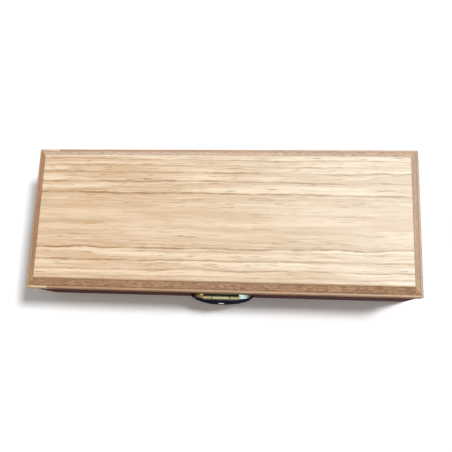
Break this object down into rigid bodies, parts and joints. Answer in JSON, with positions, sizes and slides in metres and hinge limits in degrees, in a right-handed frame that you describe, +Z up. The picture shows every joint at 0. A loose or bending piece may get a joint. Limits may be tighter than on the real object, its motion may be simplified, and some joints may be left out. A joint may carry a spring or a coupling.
{
  "type": "presentation box",
  "caption": "Long low wooden presentation box with a bevelled veneered lid hinged at the back, a domed brass snap latch in front, a cushioned lid and a recessed foam insert.",
  "frame": {"origin": "centre of the underside of the closed box", "axes": "+X along the length to the right seen from the latch, +Y from the latch to the hinges, +Z up"},
  "size_m": [0.22, 0.0907, 0.046],
  "materials": {
    "veneer": "satin",
    "core": "matte",
    "light_wood": "matte",
    "dark_wood": "satin",
    "brass": "polished",
    "card": "matte",
    "lining": "satin",
    "foam": "flocked"
  },
  "bodies": {
    "case": {"body_rail_front": "dark_wood", "body_rail_back": "dark_wood", "body_end_left": "dark_wood", "body_end_right": "dark_wood", "body_bottom": "dark_wood", "insert_foam_base": "foam", "insert_foam_top": "foam", "hinge_left_body_leaf": "brass", "hinge_right_body_leaf": "brass", "hinge_left_pin": "brass", "hinge_right_pin": "brass", "hinge_screws_body": "brass", "latch_keeper": "brass", "latch_nails_body": "brass"},
    "lid": {"lid_veneer": "veneer", "lid_core": "core", "cap_rail_front": "light_wood", "cap_rail_back": "light_wood", "cap_end_left": "light_wood", "cap_end_right": "light_wood", "lid_rail_front": "dark_wood", "lid_rail_back": "dark_wood", "lid_end_left": "dark_wood", "lid_end_right": "dark_wood", "lid_lining_card": "card", "lid_cushion": "lining", "hinge_left_lid_leaf": "brass", "hinge_right_lid_leaf": "brass", "hinge_screws_lid": "brass", "latch_lid_plate": "brass", "latch_pin": "brass", "latch_nails_lid": "brass"},
    "flap": {"latch_flap": "brass"}
  },
  "joints": [
    {"name": "lid_open", "type": "hinge", "parent": "case", "child": "lid", "pos_m": [0, 0.04245, 0.025], "axis": [-1, 0, 0], "range_deg": [0, 180]},
    {"name": "flap_lift", "type": "hinge", "parent": "lid", "child": "flap", "pos_m": [0, -0.043, 0.0266], "axis": [-1, 0, 0], "range_deg": [0, 145]}
  ]
}
